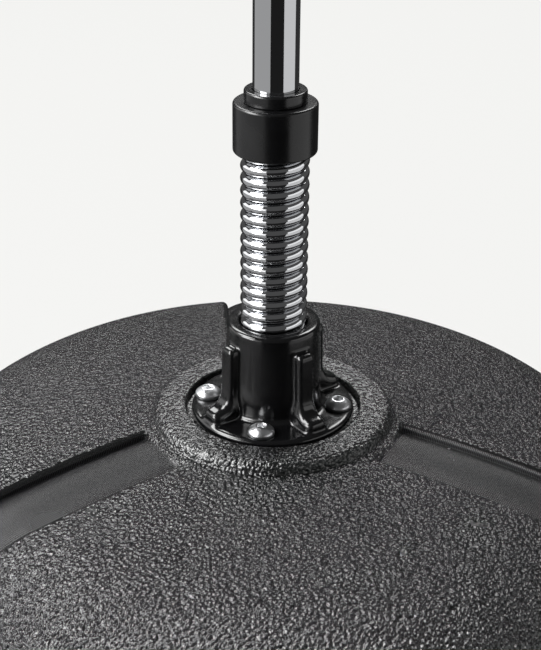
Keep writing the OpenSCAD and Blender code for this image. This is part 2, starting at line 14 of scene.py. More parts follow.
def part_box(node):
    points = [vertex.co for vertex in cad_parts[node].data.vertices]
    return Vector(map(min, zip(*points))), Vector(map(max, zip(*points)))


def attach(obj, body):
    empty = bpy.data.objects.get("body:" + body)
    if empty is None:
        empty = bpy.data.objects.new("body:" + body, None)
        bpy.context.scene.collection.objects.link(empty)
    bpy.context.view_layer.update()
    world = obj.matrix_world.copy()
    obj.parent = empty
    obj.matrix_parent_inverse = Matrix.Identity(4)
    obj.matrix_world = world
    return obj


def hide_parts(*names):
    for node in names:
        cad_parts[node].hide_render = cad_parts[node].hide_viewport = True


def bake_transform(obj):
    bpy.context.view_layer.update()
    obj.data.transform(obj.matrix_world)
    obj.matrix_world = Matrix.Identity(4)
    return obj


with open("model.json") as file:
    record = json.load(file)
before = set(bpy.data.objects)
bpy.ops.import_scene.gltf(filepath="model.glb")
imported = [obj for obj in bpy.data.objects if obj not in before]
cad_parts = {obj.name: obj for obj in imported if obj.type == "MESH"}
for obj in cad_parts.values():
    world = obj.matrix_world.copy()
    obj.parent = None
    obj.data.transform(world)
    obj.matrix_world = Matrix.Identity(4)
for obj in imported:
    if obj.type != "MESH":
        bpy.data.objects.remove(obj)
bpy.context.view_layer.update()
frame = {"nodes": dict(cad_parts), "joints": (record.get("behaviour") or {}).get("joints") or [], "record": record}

bl_info = {
    "name": "Speed bag stand looks",
    "version": (1, 0, 0),
    "blender": (4, 5, 0),
    "location": "3D View > Sidebar > Speed bag stand",
    "description": "Builds the detailed pieces, materials and studio of a speed bag stand",
    "category": "Object",
}

MM = 0.001


# ---------------------------------------------------------------- settings


def length(name, description, default):
    """A length property, in metres."""
    return FloatProperty(name=name, description=description, default=default, unit="LENGTH")


def turn(name, description, degrees):
    """An angle property, given in degrees and kept in radians."""
    angle = math.radians(degrees)
    return FloatProperty(name=name, description=description, default=angle, unit="ROTATION")


def shade(name, description, hex_colour):
    """A colour property, as an sRGB hex value."""
    return StringProperty(name=name, description=description, default=hex_colour)


class BaseSettings(bpy.types.PropertyGroup):
    """Sizes of the moulded base that the frame doesn't state."""

    shoulder: length("Shoulder", "Radius of the rounded shoulder", 84 * MM)
    rim: length("Rim", "Radius of the rounded bottom edge", 20 * MM)
    slope_out: turn("Outer crown slope", "Slope of the crown at the shoulder", 9)
    slope_in: turn("Inner crown slope", "Slope of the crown at the ring", 2.5)
    ring: length("Ring", "Radius of the raised ring's foot", 71 * MM)
    ring_height: length("Ring height", "Height of the ring above the crown", 6.5 * MM)
    recess: length("Recess", "Radius of the recess for the flange", 51.2 * MM)
    channel: length("Channel", "Width of a ribbed channel", 40 * MM)
    crease: length("Crease", "Depth of the crease along a channel", 5 * MM)
    drop: length("Strip drop", "How far the strip lies below the dome", 0.5 * MM)
    lip: length("Lip", "Radius on a channel's lips", 4 * MM)
    channel_turn: turn("Channel direction", "Direction of the rear channel", 94)
    grain: length("Grain", "Size of one pebble of the moulded grain", 2.2 * MM)
    knurl: length("Knurl", "Pitch of the knurl on a strip", 1.5 * MM)


class SocketSettings(bpy.types.PropertyGroup):
    """Sizes of the socket's flange and ribs."""

    flange_thickness: length("Flange", "Thickness of the flange", 6.5 * MM)
    rise: length("Rise", "Height of the socket over the flange", 54 * MM)
    draft: turn("Draft", "Draft of the socket's outside", 1.5)
    rim: length("Socket", "Radius of the socket at its rim", 27 * MM)
    bore: length("Bore", "Radius of the spring's bore", 19.55 * MM)
    seat: length("Seat", "Height of the spring's seat over the flange", 24 * MM)
    rib_turn: turn("Rib direction", "Direction of the first rib", 125.6)
    rib_height: length("Rib height", "Height of a rib over the flange", 44 * MM)
    rib_width: length("Rib width", "Thickness of a rib", 10.6 * MM)
    rib_reach: length("Rib reach", "How far a rib stands out from the socket's rim", 7.2 * MM)
    foot_height: length("Foot height", "Height of a rib's foot", 6.5 * MM)
    step: length("Step", "Grid step that the socket is meshed at", 0.6 * MM)


class ScrewSettings(bpy.types.PropertyGroup):
    """Sizes of the flange screws' heads."""

    circle: length("Circle", "Radius of the screw circle", 38.8 * MM)
    turn: turn("Direction", "Direction of the first screw", 80.6)
    head: length("Head", "Radius of a head", 7.6 * MM)
    height: length("Height", "Height of a head", 6 * MM)
    key: length("Key", "Half the width across flats of the key socket", 2.6 * MM)


class SpringSettings(bpy.types.PropertyGroup):
    """The coil spring."""

    wire: length("Wire", "Radius of the wire", 3.45 * MM)
    pitch: length("Pitch", "Rise of one turn", 7.26 * MM)
    outer: length("Outer", "Outer radius of the coil", 19.15 * MM)
    steps: IntProperty(name="Steps", description="Rings of points in one turn", default=72)
    sides: IntProperty(name="Sides", description="Points in one ring", default=24)


class FinishSettings(bpy.types.PropertyGroup):
    """Colours of the finishes that show most."""

    # The base's two grain colours: the lighter one is painted highlight on the pebbles' tops and the knurl's
    # points, the darker one is painted shade in the hollows between them
    pebble: shade("Pebble tops", "Scuffed tops of the base's grain", "#1e1e20")
    hollow: shade("Grain hollows", "Hollows between the pebbles", "#060606")
    enamel: shade("Gloss enamel", "Enamel of the socket", "#0b0b0c")
    satin: shade("Satin enamel", "Enamel of the collar", "#0a0a0b")
    chrome: shade("Chrome", "Chrome of the screws, spring and poles", "#c9cacc")


class StageSettings(bpy.types.PropertyGroup):
    """Camera, floor and studio light."""

    camera: FloatVectorProperty(
        name="Camera",
        description="Where the camera stands",
        default=(0, -749.3 * MM, 545.3 * MM),
        unit="LENGTH",
    )
    pitch: turn("Pitch", "How far the camera looks down", 26.4)
    yaw: turn("Yaw", "How far the camera looks to its left", 0.13)
    roll: turn("Roll", "How far the camera leans", 0.5)
    lens: FloatProperty(name="Lens", description="Focal length in millimetres", default=80.5)
    floor: shade("Floor", "Colour of the floor and backdrop", "#f4f4f2")


# ---------------------------------------------------------------- mesh tools


def new_piece(name, points, faces, body, node, smooth=True):
    """A mesh object that rides on a body and stands for a frame node."""
    mesh = bpy.data.meshes.new(name)
    mesh.from_pydata([tuple(p) for p in points], [], [tuple(f) for f in faces])
    mesh.validate()
    mesh.shade_smooth() if smooth else mesh.shade_flat()
    piece = bpy.data.objects.new(name, mesh)
    bpy.context.scene.collection.objects.link(piece)
    if body:
        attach(piece, body)
    if node:
        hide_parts(node)
    return piece


def arc(centre, radius, start, end, count):
    """Points of an arc in a half section, from one angle in degrees to another."""
    angles = np.radians(np.linspace(start, end, count))
    return [(centre[0] + radius * math.cos(a), centre[1] + radius * math.sin(a)) for a in angles]


def rounded(corner, radius, start, count=6):
    """A quarter arc that rounds an outer corner, turning anticlockwise from a start angle in degrees."""
    middle = math.radians(start + 45)
    reach = radius * math.sqrt(2)
    centre = (corner[0] - reach * math.cos(middle), corner[1] - reach * math.sin(middle))
    return arc(centre, radius, start, start + 90, count)


def lathe(name, outline, body, node, steps=160, along=None):
    """A closed outline of (radius, height) points, anticlockwise, turned about Z, or about a matrix's Z."""
    outline = np.array(outline)
    turns = np.linspace(0, 2 * np.pi, steps, endpoint=False)
    points = np.stack(
        [
            np.outer(np.cos(turns), outline[:, 0]),
            np.outer(np.sin(turns), outline[:, 0]),
            np.tile(outline[:, 1], (steps, 1)),
        ],
        axis=-1,
    ).reshape(-1, 3)
    if along is not None:
        points = points @ np.array(along.to_3x3()).T + np.array(along.translation)
    faces = grid_faces(steps, len(outline), wrap_rows=True, wrap_columns=True)
    return new_piece(name, points, faces, body, node)


def grid_faces(rows, columns, wrap_rows=False, wrap_columns=False):
    """Quads of a grid whose points are stored row by row."""
    r = np.arange(rows if wrap_rows else rows - 1)
    c = np.arange(columns if wrap_columns else columns - 1)
    r, c = np.meshgrid(r, c, indexing="ij")
    below, beside = (r + 1) % rows * columns, (c + 1) % columns
    quads = np.stack([r * columns + c, below + c, below + beside, r * columns + beside], axis=-1)
    return quads.reshape(-1, 4)


def soft_min(a, b, k):
    """The lesser of two distances, blended with a fillet of about k."""
    h = np.maximum(k - np.abs(a - b), 0) / k
    return np.minimum(a, b) - h * h * k / 4


def soft_max(a, b, k):
    """The greater of two distances, blended with a rounded edge of about k."""
    return -soft_min(-a, -b, k)


def mesh_distance(distance, low, high, step):
    """Points and quads of the surface where a distance function is zero: one point in each grid cell
    that the surface crosses, then moved onto the surface along the function's slope."""
    counts = [int(math.ceil((h - l) / step)) + 1 for l, h in zip(low, high)]
    axes = [l + step * np.arange(n) for l, n in zip(low, counts)]
    grid = np.stack(np.meshgrid(*axes, indexing="ij"), axis=-1)
    value = distance(grid)
    inside = value < 0
    total = np.zeros([n - 1 for n in counts] + [3])
    hits = np.zeros([n - 1 for n in counts])
    crossings = []
    for axis in range(3):
        a = [slice(None)] * 3
        b = [slice(None)] * 3
        a[axis], b[axis] = slice(0, -1), slice(1, None)
        a, b = tuple(a), tuple(b)
        cross = inside[a] != inside[b]
        share = np.where(cross, value[a] / np.where(cross, value[a] - value[b], 1), 0)
        place = grid[a] + (grid[b] - grid[a]) * share[..., None]
        others = [k for k in range(3) if k != axis]
        for da in (0, 1):
            for db in (0, 1):
                take = [slice(None)] * 3
                for k, d in zip(others, (da, db)):
                    take[k] = slice(d, cross.shape[k] - 1 + d)
                take = tuple(take)
                total += place[take] * cross[take][..., None]
                hits += cross[take]
        crossings.append((axis, others, cross, inside[a]))
    index = -np.ones(hits.shape, int)
    used = hits > 0
    index[used] = np.arange(used.sum())
    points = total[used] / hits[used][:, None]
    quads = []
    for axis, others, cross, first_inside in crossings:
        core = [slice(None)] * 3
        for k in others:
            core[k] = slice(1, -1)
        where = np.argwhere(cross[tuple(core)])
        flip = first_inside[tuple(core)][tuple(where.T)]
        for k in others:
            where[:, k] += 1
        corners = []
        for da, db in ((0, 0), (1, 0), (1, 1), (0, 1)):
            cell = where.copy()
            cell[:, others[0]] -= da
            cell[:, others[1]] -= db
            corners.append(index[tuple(cell.T)])
        quad = np.stack(corners, axis=-1)
        if axis == 1:
            flip = ~flip
        quad[flip] = quad[flip][:, ::-1]
        quads.append(quad)
    small = step * 0.02
    for _ in range(3):
        slope = np.stack(
            [
                distance(points + np.eye(3)[k] * small) - distance(points - np.eye(3)[k] * small)
                for k in range(3)
            ],
            axis=-1,
        ) / (2 * small)
        reach = distance(points)[:, None] * slope / np.maximum((slope**2).sum(1), 0.05)[:, None]
        points = points - np.clip(reach, -step / 2, step / 2)
    return points, np.concatenate(quads)[:, ::-1]


# ---------------------------------------------------------------- materials


def linear(hex_colour):
    """A linear RGBA colour from an sRGB hex value."""
    channels = [int(hex_colour[i : i + 2], 16) / 255 for i in (1, 3, 5)]
    return [c / 12.92 if c <= 0.04045 else ((c + 0.055) / 1.055) ** 2.4 for c in channels] + [1]


def per_mm(size):
    """The scale that makes one cell of a pattern this many millimetres wide."""
    return 1 / (size * MM)


def add(tree, kind, links=None, outputs=None, **settings):
    """One node with its settings, its inputs' values or sources by name, and its outputs' targets."""
    node = tree.nodes.new("ShaderNode" + kind)
    for name, value in settings.items():
        setattr(node, name, value)
    for name, value in (links or {}).items():
        socket = node.inputs[name]
        if isinstance(value, bpy.types.NodeSocket):
            tree.links.new(value, socket)
        else:
            socket.default_value = value
    for name, target in (outputs or {}).items():
        tree.links.new(node.outputs[name], target)
    return node


def new_material(name, colour, **surface):
    """A material with a Principled surface, its tree, and a point in the frame's axes for its patterns."""
    material = bpy.data.materials.new(name)
    material.use_nodes = True
    tree = material.node_tree
    shader = tree.nodes["Principled BSDF"]
    shader.inputs["Base Color"].default_value = linear(colour)
    for socket, value in surface.items():
        shader.inputs[socket.replace("_", " ")].default_value = value
    place = add(tree, "TexCoord").outputs["Object"]
    return material, tree, shader, place


def vary(tree, source, low, high, target, start=0.3, end=0.7):
    """Spreads a pattern's value between two settings of a socket."""
    add(
        tree,
        "MapRange",
        {"Value": source, "From Min": start, "From Max": end, "To Min": low, "To Max": high},
        {"Result": target},
    )


def bump(tree, shader, height, depth, strength=1.0, under=None):
    """Raises a pattern by a depth in millimetres."""
    links = {"Height": height, "Distance": depth * MM, "Strength": strength}
    if under is not None:
        links["Normal"] = under
    return add(tree, "Bump", links, {"Normal": shader.inputs["Normal"]}).outputs["Normal"]


def polyethylene_grain(tree, place, size):
    """Pebbles of one size: rounded cells bent by a finer noise, with a little of that noise on top."""
    swirl = add(tree, "TexNoise", {"Vector": place, "Scale": 1.4 / size, "Detail": 1.0}).outputs["Color"]
    bent = add(tree, "MixRGB", {"Fac": 0.0012, "Color1": place, "Color2": swirl}).outputs["Color"]
    pebble = add(
        tree,
        "TexVoronoi",
        {"Vector": bent, "Scale": 1 / size, "Smoothness": 0.35, "Randomness": 1.0},
        feature="SMOOTH_F1",
    ).outputs["Distance"]
    fine = add(tree, "TexNoise", {"Vector": place, "Scale": per_mm(1.0), "Detail": 2.0}).outputs["Fac"]
    falling = add(tree, "Math", {0: pebble, 1: -1.0}, operation="MULTIPLY").outputs["Value"]
    return add(tree, "Math", {0: fine, 1: 0.25, 2: falling}, operation="MULTIPLY_ADD").outputs["Value"]


def knurl_waves(tree, across, along, pitch):
    """A knurl: two sets of waves that cross at 45 degrees, one turn to each pitch."""
    waves = []
    for sign in (1.0, -1.0):
        slant = add(tree, "Math", {0: across, 1: sign, 2: along}, operation="MULTIPLY_ADD")
        slant = slant.outputs["Value"]
        phase = add(tree, "Math", {0: slant, 1: math.sqrt(2) * math.pi / pitch}, operation="MULTIPLY")
        waves.append(add(tree, "Math", {0: phase.outputs["Value"]}, operation="SINE").outputs["Value"])
    return add(tree, "Math", {0: waves[0], 1: waves[1]}, operation="MULTIPLY").outputs["Value"]


def moulded_polyethylene():
    """Rotomoulded black polyethylene: a waxy skin whose pebbles carry painted highlight on their tops and painted
    shade in the hollows between them, and knurled strips with a painted sheen of lighter small points. The pebbles
    and the knurl are drawn a little coarser than the real ones, so that they show."""
    base, looks = bpy.context.scene.base_looks, bpy.context.scene.finish_looks
    material, tree, shader, place = new_material("Rotomoulded_Polyethylene", looks.pebble, IOR=1.51)
    layers = ("grain", "strip", "across", "along")
    grain, strip, across, along = (
        add(tree, "Attribute", attribute_name=layer).outputs["Fac"] for layer in layers
    )
    height = polyethylene_grain(tree, place, base.grain)
    knurl = knurl_waves(tree, across, along, base.knurl)
    raised = add(tree, "Math", {0: height, 1: grain}, operation="MULTIPLY").outputs["Value"]
    knurled = add(tree, "Math", {0: knurl, 1: strip}, operation="MULTIPLY").outputs["Value"]
    pebbled = bump(tree, shader, raised, 1.9)
    bump(tree, shader, knurled, 0.12, under=pebbled)
    # A strip's fine points throw back less light than the pebbles do
    vary(tree, strip, 0.9, 0.45, shader.inputs["Specular IOR Level"], 0.0, 1.0)
    # Handling and mould marks: broad, faint changes of gloss
    cloud = add(tree, "TexNoise", {"Vector": place, "Scale": per_mm(60), "Detail": 4.0}).outputs["Fac"]
    vary(tree, cloud, 0.2, 0.28, shader.inputs["Roughness"])
    # Painted highlight and shade: tops are lighter than the hollows between them, on pebbles and on the knurl's
    # points
    tops = add(tree, "MapRange", {"Value": height, "From Min": -0.5, "From Max": -0.15}).outputs["Result"]
    skin = add(tree, "MixRGB", {"Fac": grain, "Color1": linear("#7f7f7f"), "Color2": tops})
    points = add(tree, "MapRange", {"Value": knurl, "From Min": -0.3, "From Max": 0.4}).outputs["Result"]
    painted_highlight_and_shade = add(tree, "MixRGB", {"Fac": strip, "Color1": skin.outputs["Color"], "Color2": points})
    add(
        tree,
        "MixRGB",
        {
            "Fac": painted_highlight_and_shade.outputs["Color"],
            "Color1": linear(looks.hollow),
            "Color2": linear(looks.pebble),
        },
        {"Color": shader.inputs["Base Color"]},
    )
    return material


def gloss_enamel():
    """Stoved gloss enamel on cast alloy: deep black with sharp reflections, slightly rippled."""
    colour = bpy.context.scene.finish_looks.enamel
    material, tree, shader, place = new_material("Stoved_Gloss_Enamel", colour, IOR=1.52)
    ripple = add(tree, "TexNoise", {"Vector": place, "Scale": per_mm(7), "Detail": 3.0}).outputs["Fac"]
    bump(tree, shader, ripple, 0.06)
    vary(tree, ripple, 0.13, 0.21, shader.inputs["Roughness"])
    return material


def satin_enamel():
    """Sprayed satin enamel: black, with soft highlights and a faint orange peel."""
    colour = bpy.context.scene.finish_looks.satin
    material, tree, shader, place = new_material("Sprayed_Satin_Enamel", colour, IOR=1.5)
    peel = add(tree, "TexNoise", {"Vector": place, "Scale": per_mm(2.2), "Detail": 2.0}).outputs["Fac"]
    bump(tree, shader, peel, 0.02)
    cloud = add(tree, "TexNoise", {"Vector": place, "Scale": per_mm(18), "Detail": 3.0}).outputs["Fac"]
    vary(tree, cloud, 0.22, 0.32, shader.inputs["Roughness"])
    return material


def moulded_nylon(name, colour, roughness, grain):
    """Injection-moulded nylon or ABS: an even colour, a soft gloss and a fine mould grain."""
    material, tree, shader, place = new_material(name, colour, IOR=1.53)
    skin = add(tree, "TexNoise", {"Vector": place, "Scale": per_mm(grain), "Detail": 4.0}).outputs["Fac"]
    bump(tree, shader, skin, 0.03)
    cloud = add(tree, "TexNoise", {"Vector": place, "Scale": per_mm(14), "Detail": 3.0}).outputs["Fac"]
    vary(tree, cloud, roughness - 0.04, roughness + 0.06, shader.inputs["Roughness"])
    return material


def chrome_plate(name, roughness, ripple_size, ripple_depth):
    """Bright chrome on polished steel: a mirror with hairline polishing marks and a faint ripple."""
    colour = bpy.context.scene.finish_looks.chrome
    material, tree, shader, place = new_material(name, colour, Metallic=1.0)
    ripple = add(tree, "TexNoise", {"Vector": place, "Scale": per_mm(ripple_size), "Detail": 2.0})
    bump(tree, shader, ripple.outputs["Fac"], ripple_depth)
    haze = add(tree, "TexNoise", {"Vector": place, "Scale": per_mm(9), "Detail": 5.0}).outputs["Fac"]
    vary(tree, haze, roughness * 0.7, roughness * 1.5, shader.inputs["Roughness"])
    return material


def moulded_rubber():
    """Compression-moulded rubber: matt black with a dusty, slightly uneven skin."""
    material, tree, shader, place = new_material("Moulded_Rubber", "#1b1b1b", IOR=1.52)
    dust = add(tree, "TexNoise", {"Vector": place, "Scale": per_mm(3), "Detail": 6.0}).outputs["Fac"]
    bump(tree, shader, dust, 0.05)
    vary(tree, dust, 0.65, 0.85, shader.inputs["Roughness"])
    return material


def metal(name, colour, roughness, mark_size, stretch):
    """Bare or plated metal with fine marks from its tool, longer one way than the other."""
    material, tree, shader, place = new_material(name, colour, Metallic=1.0)
    drawn = add(tree, "Mapping", {"Vector": place, "Scale": stretch}).outputs["Vector"]
    marks = add(tree, "TexNoise", {"Vector": drawn, "Scale": per_mm(mark_size), "Detail": 4.0})
    marks = marks.outputs["Fac"]
    bump(tree, shader, marks, 0.015)
    vary(tree, marks, roughness * 0.8, roughness * 1.25, shader.inputs["Roughness"])
    return material


def make_materials():
    """Every finish, by the frame's material slot."""
    turned, even = (1.0, 1.0, 6.0), (1.0, 1.0, 1.0)
    steel = metal("Zinc_Plated_Steel", "#a8aaad", 0.34, 1.2, even)
    brass = metal("Turned_Brass", "#b08d4c", 0.3, 0.8, turned)
    moulding = moulded_nylon("Injection_Moulded_ABS", "#1a1a1b", 0.42, 0.8)
    rubber = moulded_rubber()
    return {
        "base_pe": moulded_polyethylene(),
        "foot_rubber": rubber,
        "cap_plastic": moulding,
        "seal_rubber": rubber,
        "socket_plastic": gloss_enamel(),
        "screw_chrome": chrome_plate("Chrome_Plated_Screw", 0.32, 1.5, 0.006),
        "insert_brass": brass,
        "zinc_steel": steel,
        "plain_steel": metal("Turned_Steel", "#8d8e90", 0.32, 0.8, turned),
        "spring_chrome": chrome_plate("Chrome_Plated_Wire", 0.06, 4.0, 0.01),
        "collar_black": satin_enamel(),
        "bush_black": moulded_nylon("Gloss_Moulded_Nylon", "#0e0e0f", 0.2, 1.5),
        "black_oxide": metal("Black_Oxide_Steel", "#303032", 0.4, 0.6, even),
        "pole_chrome": chrome_plate("Chrome_Plated_Tube", 0.035, 30.0, 0.02),
        "clamp_plastic": moulding,
        "nylon_dark": moulded_nylon("Moulded_Nylon_Dark", "#2a2a2a", 0.4, 1.0),
        "nylon_natural": moulded_nylon("Moulded_Nylon_Natural", "#d8d5c8", 0.38, 1.0),
    }


MATERIALS = {}


def finish(piece, slot):
    """Gives a piece the finish of one of the frame's slots."""
    if not MATERIALS:
        MATERIALS.update(make_materials())
    piece.data.materials.clear()
    piece.data.materials.append(MATERIALS[slot])


# ---------------------------------------------------------------- the base


# The channels start this far outside the ring, and run out at this slope of the shoulder
CHANNEL_GAP = 5 * MM
CHANNEL_END = math.radians(82)


def base_outline():
    """The base's half section, as three lists: the ring from the deck out to its foot, the dome from there
    to its widest place, and the underside back to the centre. A dome point also has its slope."""
    looks = bpy.context.scene.base_looks
    low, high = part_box("base_shell")
    edge, floor = high.x, low.z
    parting = floor + looks.rim
    shoulder_x = edge - looks.shoulder
    join_x = shoulder_x + looks.shoulder * math.sin(looks.slope_out)
    join_z = parting + looks.shoulder * math.cos(looks.slope_out)
    crown = (join_x - looks.ring) / (math.sin(looks.slope_out) - math.sin(looks.slope_in))
    crown_x = join_x - crown * math.sin(looks.slope_out)
    crown_z = join_z - crown * math.cos(looks.slope_out)
    foot = crown_z + crown * math.cos(looks.slope_in)

    def on_crown(slope):
        return crown_x + crown * math.sin(slope), crown_z + crown * math.cos(slope), slope

    def on_shoulder(slope):
        return (
            shoulder_x + looks.shoulder * math.sin(slope),
            parting + looks.shoulder * math.cos(slope),
            slope,
        )

    # The ring: a flat deck under the flange, the recess's wall, a flat top and a rounded outside that
    # ends in a narrow valley
    top = foot + looks.ring_height
    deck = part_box("socket_flange")[0].z
    corner, mouth, valley = 0.4 * MM, 1.2 * MM, 0.8 * MM
    outside = looks.ring_height - 0.5 * MM
    ring = [(20 * MM, deck), (48 * MM, deck), (looks.recess - corner, deck)]
    ring += [(looks.recess, deck + corner), (looks.recess, top - mouth)]
    ring += arc((looks.recess + mouth, top - mouth), mouth, 180, 90, 5)[1:]
    ring += [(looks.recess + 5 * MM, top), (looks.ring - outside - 2 * MM, top)]
    ring += arc((looks.ring - outside, top - outside), outside, 90, 0, 11)
    ring += arc((looks.ring + valley, foot + 0.75 * MM), valley, 180, 262, 5)[1:]

    # The dome: a few rows before the channels, then the crown, the shoulder and its last few degrees
    inner = looks.ring + CHANNEL_GAP
    before = np.linspace(looks.ring + 1.6 * MM, inner - 0.9 * MM, 4)
    dome = [on_crown(math.asin((x - crown_x) / crown)) for x in before]
    start = math.asin((inner - crown_x) / crown)
    dome += [on_crown(slope) for slope in np.linspace(start, looks.slope_out, 44)]
    dome += [on_shoulder(slope) for slope in np.linspace(looks.slope_out, CHANNEL_END, 60)[1:]]
    dome += [on_shoulder(math.radians(degrees)) for degrees in (83, 85, 87.5, 89.3)]

    # The underside: a narrow flat where the mould parts, the rounded rim and the flat bottom
    under = [(edge - 0.05 * MM, parting + 0.5 * MM), (edge, parting + 0.2 * MM)]
    under += [(edge, parting - 0.2 * MM), (edge - 0.15 * MM, parting - 0.6 * MM)]
    under += arc((edge - looks.rim, parting), looks.rim, -4, -90, 14)
    under += [(edge - looks.rim - 8 * MM, floor), (120 * MM, floor), (20 * MM, floor)]
    return ring, dome, under


def channel_stations():
    """Half of a channel's cross section, from its middle out: (across, depth) with depth below the dome.
    The strip is a shallow arch, its stations closer together towards the crease, and a rounded lip leads
    from the crease up to the dome."""
    looks = bpy.context.scene.base_looks
    half = looks.channel / 2
    rise = looks.crease - looks.drop
    arch = (half * half + rise * rise) / (2 * rise)
    shares = (0, 0.13, 0.26, 0.39, 0.51, 0.62, 0.72, 0.8, 0.87, 0.92, 0.955, 0.975)
    stations = [
        (share * half, looks.drop + arch - math.sqrt(arch * arch - share * half * share * half))
        for share in shares
    ]
    stations.append((half - 0.25 * MM, looks.crease - 0.1 * MM))
    stations.append((half - 0.05 * MM, looks.crease - 0.45 * MM))
    for degrees in (0, 14, 28, 42, 56, 70, 82, 90):
        angle = math.radians(degrees)
        out, down = 1 - math.cos(angle), 1 - math.sin(angle)
        stations.append((half + looks.lip * out, looks.lip * down))
    stations += [(half + looks.lip + 1.5 * MM, 0.0), (half + looks.lip + 4 * MM, 0.0)]
    return stations


def smooth(value, low, high):
    """A smooth step from 0 at low to 1 at high."""
    share = np.clip((value - low) / (high - low), 0, 1)
    return share * share * (3 - 2 * share)


def base_columns():
    """Columns round the base: for each the channel's direction, how far across it lies, its depth there,
    and its share of the way over the plain sector to the next channel."""
    looks = bpy.context.scene.base_looks
    half = channel_stations()
    columns = []
    for k in range(3):
        direction = looks.channel_turn + k * 2 * math.pi / 3
        for across, depth in reversed(half[1:]):
            columns.append((direction, -across, depth, 0.0))
        for across, depth in half:
            columns.append((direction, across, depth, 0.0))
        for share in np.linspace(0, 1, 62)[1:-1]:
            columns.append((direction, half[-1][0], 0.0, share))
    return np.array(columns)


def add_layer(piece, name, values):
    """A float attribute with one value for each point."""
    layer = piece.data.attributes.new(name, "FLOAT", "POINT")
    layer.data.foreach_set("value", np.asarray(values, np.float32))


def base_rows():
    """Rows of the base from the deck to the bottom: radius, height, slope, and how much of a channel's
    depth is cut there. With them comes the number of rows on the ring."""
    ring, dome, under = base_outline()
    inner = bpy.context.scene.base_looks.ring + CHANNEL_GAP
    rows = [(r, z, 0.0, 0.0) for r, z in ring]
    for r, z, slope in dome:
        cut = smooth(r, inner - 0.7 * MM, inner + 0.9 * MM) if slope < CHANNEL_END + 1e-6 else 0.0
        rows.append((r, z, slope, float(cut)))
    rows += [(r, z, math.pi / 2, 0.0) for r, z in under]
    return np.array(rows), len(ring)


def make_base():
    """The moulded base: a dome with a raised ring and three sunken, arched and knurled strips."""
    looks = bpy.context.scene.base_looks
    rows, ring_rows = base_rows()
    direction, across, depth, share = base_columns().T
    inner = looks.ring + CHANNEL_GAP
    border = np.abs(across).max()
    edge = looks.channel / 2
    travel = np.concatenate([[0], np.cumsum(np.hypot(*np.diff(rows[:, :2], axis=0).T))])
    points = []
    layers = {"strip": [], "grain": [], "across": [], "along": []}
    for number, ((r, z, slope, cut), way) in enumerate(zip(rows, travel)):
        reach = max(r, inner)
        sector = 2 * math.pi / 3 - 2 * math.asin(border / reach)
        angle = direction + np.arcsin(across / reach) + share * sector
        radius = r - depth * cut * math.sin(slope)
        height = z - depth * cut * math.cos(slope)
        points.append(np.stack([radius * np.cos(angle), radius * np.sin(angle), height], axis=-1))
        # The knurl covers a strip and its creases. The lips are smooth, and the ring less pebbled
        cut_here, on_ring = cut > 0.5, number < ring_rows - 1
        layers["strip"].append(np.where((np.abs(across) < edge + 1.2 * MM) & cut_here, 1.0, 0.0))
        off_lip = np.where(share > 0, 1.0, smooth(np.abs(across), edge + 2.2 * MM, edge + 5 * MM))
        in_recess = on_ring and r < looks.recess + 0.5 * MM
        pebbled = 0.25 if in_recess else 0.5 if on_ring else 1.0
        layers["grain"].append((off_lip if cut_here else np.ones(len(across))) * pebbled)
        layers["across"].append(across)
        layers["along"].append(np.full(len(across), way))
    count = len(across)
    faces = [tuple(f) for f in grid_faces(len(rows), count, wrap_columns=True)[:, ::-1]]
    faces.append(tuple(range(count)))
    faces.append(tuple(reversed(range((len(rows) - 1) * count, len(rows) * count))))
    piece = new_piece("Base_Moulding", np.concatenate(points), faces, "base", "base_shell")
    for name, values in layers.items():
        add_layer(piece, name, np.concatenate(values))
    finish(piece, "base_pe")


# ---------------------------------------------------------------- the filler


def filler_axes():
    """The filler's own axes, Z along its tilted bore, standing at the middle of its gasket."""
    joint = next(j for j in frame["joints"] if j["name"] == "cap_lift")
    axis = Vector(joint["axis"]).normalized()
    low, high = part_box("filler_gasket")
    turned = axis.to_track_quat("Z", "Y").to_matrix().to_4x4()
    return Matrix.Translation((low + high) / 2) @ turned


def make_filler():
    """The raised seat and threaded neck of the filler, seen between the base and its cap."""
    seat_top, neck_top = -15 * MM, -1 * MM
    seat, neck, bore = 26 * MM, 18 * MM, 14 * MM
    foot = seat_top - 8 * MM
    corner, fillet, edge = 1.5 * MM, 0.4 * MM, 0.8 * MM
    outline = [(bore, neck_top), (bore, foot), (seat, foot)]
    outline += rounded((seat, seat_top), corner, 0)
    outline += [(neck + corner, seat_top), (neck + fillet, seat_top + fillet), (neck, seat_top + corner)]
    outline += rounded((neck, neck_top), edge, 0)
    piece = lathe("Filler_Neck", outline, "base", "base_shell", 96, along=filler_axes())
    for name, value in (("strip", 0.0), ("grain", 0.3)):
        add_layer(piece, name, np.full(len(piece.data.vertices), value))
    finish(piece, "base_pe")


# ---------------------------------------------------------------- the socket


def rib_distance(reach, height, sideways, looks, flange):
    """Distance to one rib in its own axes: outward, up from the flange and sideways. An upright runs in
    one hollow curve into a wider foot, and every edge is rounded."""
    top_round, foot_round, side_round = 3.4 * MM, 3.8 * MM, 3.2 * MM
    hollow, foot_gap, flare = 11 * MM, 2.8 * MM, 1.8 * MM
    lean = (height - looks.foot_height) * math.tan(looks.draft)
    face = reach - (looks.rim + looks.rib_reach - lean)
    upright = soft_max(face, height - looks.rib_height, top_round)
    foot = soft_max(reach - (flange - foot_gap), height - looks.foot_height, foot_round)
    outline = soft_min(upright, foot, hollow)
    low = 1 - smooth(height, 5 * MM, 17 * MM)
    side = np.abs(sideways) - looks.rib_width / 2 - flare * low
    root = looks.rim - 4 * MM - reach
    return np.maximum(soft_max(outline, side, side_round + flare * low), root)


